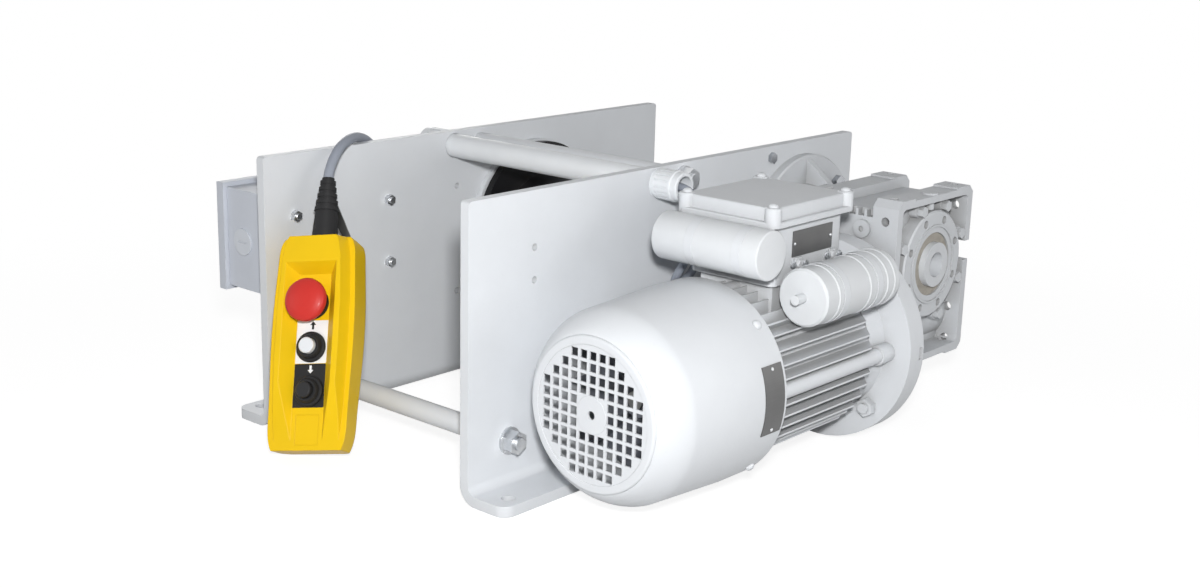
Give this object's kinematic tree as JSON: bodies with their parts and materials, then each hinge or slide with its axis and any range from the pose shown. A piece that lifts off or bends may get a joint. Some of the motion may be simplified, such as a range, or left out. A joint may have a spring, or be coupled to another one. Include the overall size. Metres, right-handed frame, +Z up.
{
  "type": "worm gear winch",
  "caption": "Electric worm gear winch: a drum between two bent side plates, a brake motor with a worm reducer on one side, a control box and a wired pendant on the other.",
  "frame": {"origin": "centre of the four foot holes, on the surface the feet stand on", "axes": "+Z up, +X towards the side plate that carries the motor, -Y the front end with the fan cowl and the pendant"},
  "size_m": [0.6905, 0.6379, 0.2863],
  "materials": {
    "plate_paint": "satin light grey paint",
    "zinc": "bright zinc plate",
    "spacer_paint": "satin light grey paint",
    "white_plastic": "semi-gloss white plastic",
    "grey_cable": "matt grey sheath",
    "drum_black": "semi-gloss black paint",
    "steel": "machined steel",
    "bronze": "machined bronze",
    "gearbox_paint": "satin light grey paint on a casting",
    "black_rubber": "matt black rubber",
    "motor_paint": "satin light grey paint",
    "iron": "bare iron",
    "black_plastic": "matt black plastic",
    "box_grey": "satin light grey paint on a casting",
    "capacitor_grey": "semi-gloss light grey plastic",
    "strap_steel": "blackened strap",
    "plate_metal": "bare anodised plate",
    "control_grey": "fine-grained bluish grey plastic",
    "pendant_yellow": "semi-gloss yellow plastic",
    "red_plastic": "semi-gloss red plastic",
    "white_button": "semi-gloss white plastic"
  },
  "bodies": {
    "frame": {"near_side_plate": "plate_paint", "far_side_plate": "plate_paint", "drum_ring": "plate_paint", "tie_rods": "zinc", "tie_washers": "zinc", "tie_nuts": "zinc", "frame_bolts": "zinc", "control_box_bolts": "zinc", "spacers": "spacer_paint", "conduit_tube": "white_plastic", "conduit_fittings": "white_plastic", "motor_cable": "grey_cable", "cord_lead": "grey_cable", "cord_coil": "grey_cable", "drum_axle": "steel", "gearbox_bearings": "steel", "motor_bearings": "steel", "gearbox_housing": "gearbox_paint", "gearbox_cover": "gearbox_paint", "gearbox_cover_bolts": "gearbox_paint", "output_flange": "gearbox_paint", "input_flange": "gearbox_paint", "gearbox_seals": "black_rubber", "pendant_boot": "black_rubber", "pendant_bezels": "black_rubber", "gearbox_plugs": "black_rubber", "motor_frame": "motor_paint", "drive_end_shield": "motor_paint", "rear_end_shield": "motor_paint", "fan_cowl": "motor_paint", "motor_flange_bolts": "motor_paint", "cover_screws": "motor_paint", "stator": "iron", "brake_magnet": "iron", "terminal_box": "box_grey", "terminal_box_lid": "box_grey", "run_capacitor": "capacitor_grey", "start_capacitor": "capacitor_grey", "capacitor_clamps": "capacitor_grey", "pendant_hanger": "strap_steel", "rating_plates": "plate_metal", "control_box": "control_grey", "control_box_lid": "control_grey", "control_box_blank": "control_grey", "cord_gland": "control_grey", "pendant_front": "pendant_yellow", "pendant_back": "pendant_yellow"},
    "drum": {"drum": "drum_black", "drum_gear": "steel", "drum_bearings": "steel"},
    "output": {"worm_wheel": "bronze", "pinion_shaft": "steel"},
    "rotor": {"rotor": "steel", "worm": "steel", "fan": "black_plastic", "brake_disc": "steel"},
    "estop_stem": {"estop_stem": "black_plastic"},
    "estop_head": {"estop_head": "red_plastic"},
    "up_button": {"up_button": "white_button"},
    "down_button": {"down_button": "black_plastic"}
  },
  "joints": [
    {"name": "rotor_spin", "type": "hinge", "parent": "frame", "child": "rotor", "pos_m": [0.256, 0, 0.103], "axis": [0, 1, 0], "continuous": true},
    {"name": "output_spin", "type": "hinge", "parent": "frame", "child": "output", "pos_m": [0, 0.195, 0.166], "axis": [1, 0, 0], "continuous": true},
    {"name": "drum_spin", "type": "hinge", "parent": "frame", "child": "drum", "pos_m": [0, 0.07542, 0.156], "axis": [1, 0, 0], "continuous": true},
    {"name": "estop_push", "type": "slide", "parent": "frame", "child": "estop_stem", "axis": [-0.359, 0.8256, -0.4352], "range_m": [0, 0.005]},
    {"name": "estop_twist", "type": "hinge", "parent": "estop_stem", "child": "estop_head", "pos_m": [-0.06833, -0.28511, 0.14004], "axis": [-0.359, 0.8256, -0.4352], "range_deg": [0, 40], "stiffness_Nm_per_rad": 0.02},
    {"name": "up_press", "type": "slide", "parent": "frame", "child": "up_button", "axis": [-0.359, 0.8256, -0.4352], "range_m": [0, 0.004], "stiffness_N_per_m": 600},
    {"name": "down_press", "type": "slide", "parent": "frame", "child": "down_button", "axis": [-0.359, 0.8256, -0.4352], "range_m": [0, 0.004], "stiffness_N_per_m": 600}
  ],
  "couplings": [
    {"joint": "output_spin", "follows": "rotor_spin", "ratio": -0.033333},
    {"joint": "drum_spin", "follows": "rotor_spin", "ratio": 0.016667}
  ]
}
